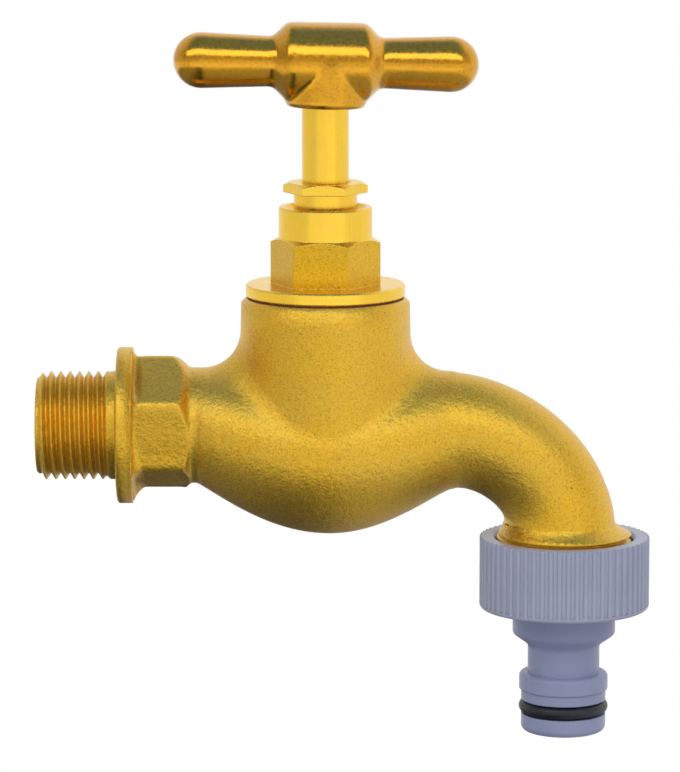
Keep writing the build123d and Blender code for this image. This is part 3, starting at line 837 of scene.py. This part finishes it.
def studio_floor():
    """Round floor below the tap."""
    built = bmesh.new()
    bmesh.ops.create_circle(built, cap_ends=True, segments=96, radius=FLOOR_R)
    mesh = bpy.data.meshes.new("floor")
    built.to_mesh(mesh)
    built.free()
    floor = bpy.data.objects.new("floor", mesh)
    floor.location = FLOOR_CENTRE
    bpy.context.collection.objects.link(floor)
    mesh.materials.append(floor_finish())


def studio_world():
    """White backdrop, with the dimmer, cooler studio overhead and in front shown to gloss."""
    world = bpy.data.worlds.new("studio")
    bpy.context.scene.world = world
    tree = Tree(world)

    def background(strength, colour):
        node = tree.nodes.new("ShaderNodeBackground")
        tree.feed(node.inputs["Strength"], strength)
        tree.feed(node.inputs["Color"], colour)
        return node.outputs[0]

    x, y, z = tree.split(tree.nodes.new("ShaderNodeTexCoord").outputs["Generated"])
    cool = (0.19, 0.33, 0.85)
    behind = tree.ramp(z, (0.72, (1, 1, 1)), (0.95, cool))
    ahead = tree.ramp(
        z,
        (0.06, (1.0, 0.98, 0.95)),
        (0.16, (0.61, 0.54, 0.42)),
        (0.5, (0.56, 0.52, 0.43)),
        (0.78, cool),
    )
    sky = tree.blend(tree.spread(y, -0.25, 0.25, kind="LINEAR"), ahead, behind)
    shade = tree.spread(x, -0.9, 0.1, 0.7, 1.04, kind="LINEAR")
    studio = background(shade, sky)
    fill = background(shade, (0.58, 0.6, 0.65, 1))
    white = background(1.0, (1, 1, 1, 1))
    path = tree.nodes.new("ShaderNodeLightPath").outputs
    seen = tree.math("MAXIMUM", path["Is Glossy Ray"], path["Is Transmission Ray"])
    shown = tree.choose(path["Is Camera Ray"], tree.choose(seen, fill, studio), white)
    tree.links.new(shown, tree.nodes["World Output"].inputs[0])


def aim(holder, azimuth, elevation, distance):
    """Puts a lamp or a camera at this angle and distance, facing the tap."""
    a, e = math.radians(azimuth), math.radians(elevation)
    back = Vector((math.sin(a) * math.cos(e), -math.cos(a) * math.cos(e), math.sin(e)))
    holder.location = AIM + back * distance
    holder.rotation_euler = (-back).to_track_quat("-Z", "Y").to_euler()
    bpy.context.collection.objects.link(holder)


def softbox(name, azimuth, elevation, distance, size, radiance):
    """Rectangular lamp that faces the tap, of an even radiance."""
    lamp = bpy.data.lights.new(name, "AREA")
    lamp.shape = "RECTANGLE"
    lamp.size, lamp.size_y = size
    lamp.energy = radiance * math.pi * size[0] * size[1]
    holder = bpy.data.objects.new(name, lamp)
    holder.visible_camera = False
    aim(holder, azimuth, elevation, distance)


def camera():
    """Long lens at the photograph's angle, slightly above the tap."""
    data = bpy.data.cameras.new("camera")
    data.lens = CAMERA_LENS
    data.sensor_width = CAMERA_SENSOR
    holder = bpy.data.objects.new("camera", data)
    aim(holder, 0, CAMERA_ELEVATION, CAMERA_DISTANCE)
    bpy.context.scene.camera = holder


studio_floor()
studio_world()
softbox("key_softbox", -8, 43, 0.9, (2.2, 0.36), 1.9)
softbox("low_softbox", 4, -11, 0.72, (1.5, 0.2), 0.32)
camera()
bpy.context.scene.view_settings.view_transform = "Standard"
